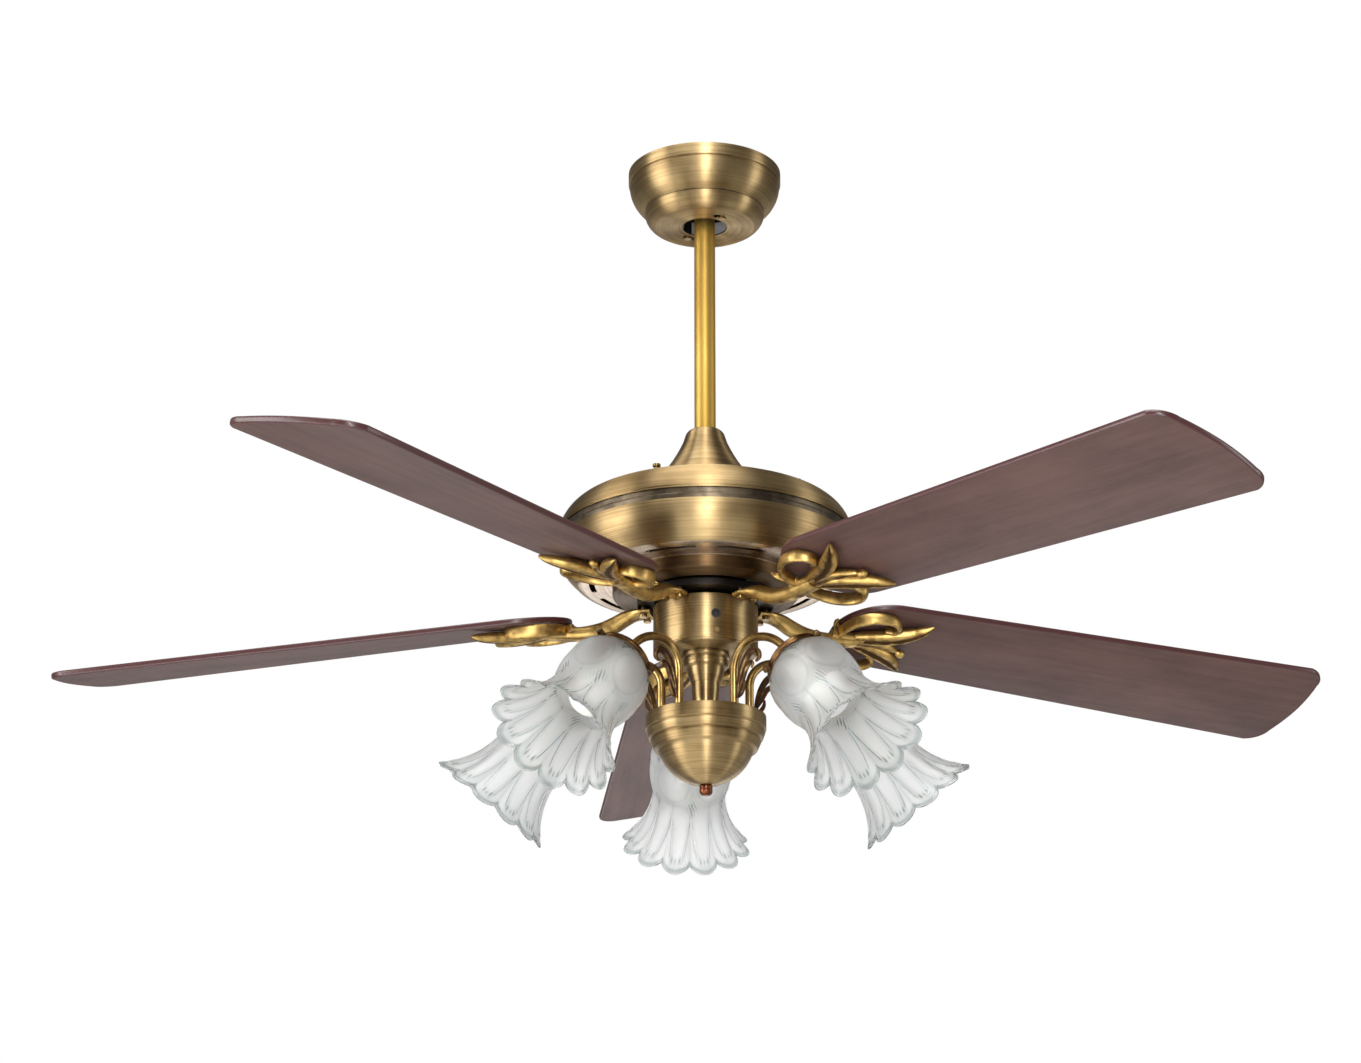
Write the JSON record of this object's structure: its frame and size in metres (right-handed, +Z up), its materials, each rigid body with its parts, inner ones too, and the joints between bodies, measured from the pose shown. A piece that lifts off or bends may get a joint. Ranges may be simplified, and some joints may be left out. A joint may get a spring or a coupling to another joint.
{
  "type": "ceiling fan with light",
  "caption": "Ceiling fan hung on a rod from a ball joint, with pitched wooden blades on cast arms and a light kit of flared glass shades on curved brass arms.",
  "frame": {"origin": "on the ceiling, at the centre of the bracket's bolt pattern and on the fan's upright axis", "axes": "+Z up, out of the ceiling; the bracket's bolts lie along X; the camera side of the room is -Y"},
  "size_m": [1.2735, 1.2426, 0.6814],
  "materials": {
    "zinc_steel": "zinc plated, satin",
    "black_nylon": "moulded, matt",
    "steel": "turned, bright",
    "antique_brass": "spun, brushed antique brass, lacquered",
    "brass_screws": "plated",
    "yellow_brass": "drawn tube, polished",
    "dark_band": "dark, semi-gloss",
    "stator_steel": "laminated, bare",
    "copper_wire": "enamelled copper wire",
    "cast_zinc": "die cast",
    "cast_gold": "cast, gold with dark patina in the recesses",
    "arm_brass": "bent tube, brushed",
    "mahogany": "dark reddish veneer, satin lacquer",
    "black_plastic": "moulded",
    "dark_bronze": "dark bronze, rubbed bright at the edges",
    "frosted_glass": "pressed, frosted, with clear folds",
    "socket_shell": "glazed lamp socket",
    "lamp_glass": "opal"
  },
  "bodies": {
    "mount": {"hanger_bracket": "zinc_steel", "canopy": "antique_brass", "canopy_screws": "brass_screws"},
    "ball": {"hanger_ball": "black_nylon", "ball_pin": "steel"},
    "drop": {"downrod": "yellow_brass", "yoke_cover": "antique_brass", "coupling": "steel", "coupling_pin": "steel", "coupling_screws": "steel", "upper_housing": "antique_brass", "housing_screws": "brass_screws", "trim_band": "dark_band", "lower_housing": "antique_brass", "motor_shaft": "steel", "stator_core": "stator_steel", "stator_windings": "copper_wire", "upper_bearing": "steel", "lower_bearing": "steel", "switch_housing": "antique_brass", "switch_plate": "antique_brass", "switch_screws": "brass_screws", "capacitor": "black_plastic", "chain_grommet": "black_plastic", "column_collar": "antique_brass", "funnel": "antique_brass", "centre_tube": "steel", "arm_plate": "antique_brass", "light_cup": "antique_brass", "finial": "dark_bronze", "light_arm_1": "arm_brass", "light_arm_2": "arm_brass", "light_arm_3": "arm_brass", "light_arm_4": "arm_brass", "light_arm_5": "arm_brass", "glass_shade_1": "frosted_glass", "glass_shade_2": "frosted_glass", "glass_shade_3": "frosted_glass", "glass_shade_4": "frosted_glass", "glass_shade_5": "frosted_glass", "shade_caps": "dark_bronze", "thumb_screws": "dark_bronze", "lamp_sockets": "socket_shell", "bulbs": "lamp_glass", "arm_leaves": "cast_gold"},
    "rotor": {"rotor_upper_shell": "cast_zinc", "rotor_lower_shell": "cast_zinc", "flywheel": "cast_zinc", "blade_iron_1": "cast_gold", "blade_iron_2": "cast_gold", "blade_iron_3": "cast_gold", "blade_iron_4": "cast_gold", "blade_iron_5": "cast_gold", "blade_1": "mahogany", "blade_2": "mahogany", "blade_3": "mahogany", "blade_4": "mahogany", "blade_5": "mahogany", "blade_screws": "brass_screws", "iron_screws": "brass_screws"}
  },
  "joints": [
    {"name": "ball_tilt_x", "type": "hinge", "parent": "mount", "child": "ball", "pos_m": [0, 0, -0.024], "axis": [1, 0, 0], "range_deg": [-10, 10]},
    {"name": "ball_tilt_y", "type": "hinge", "parent": "ball", "child": "drop", "pos_m": [0, 0, -0.024], "axis": [0, 1, 0], "range_deg": [-10, 10]},
    {"name": "rotor_spin", "type": "hinge", "parent": "drop", "child": "rotor", "pos_m": [0, 0, -0.39], "axis": [0, 0, 1], "continuous": true}
  ]
}
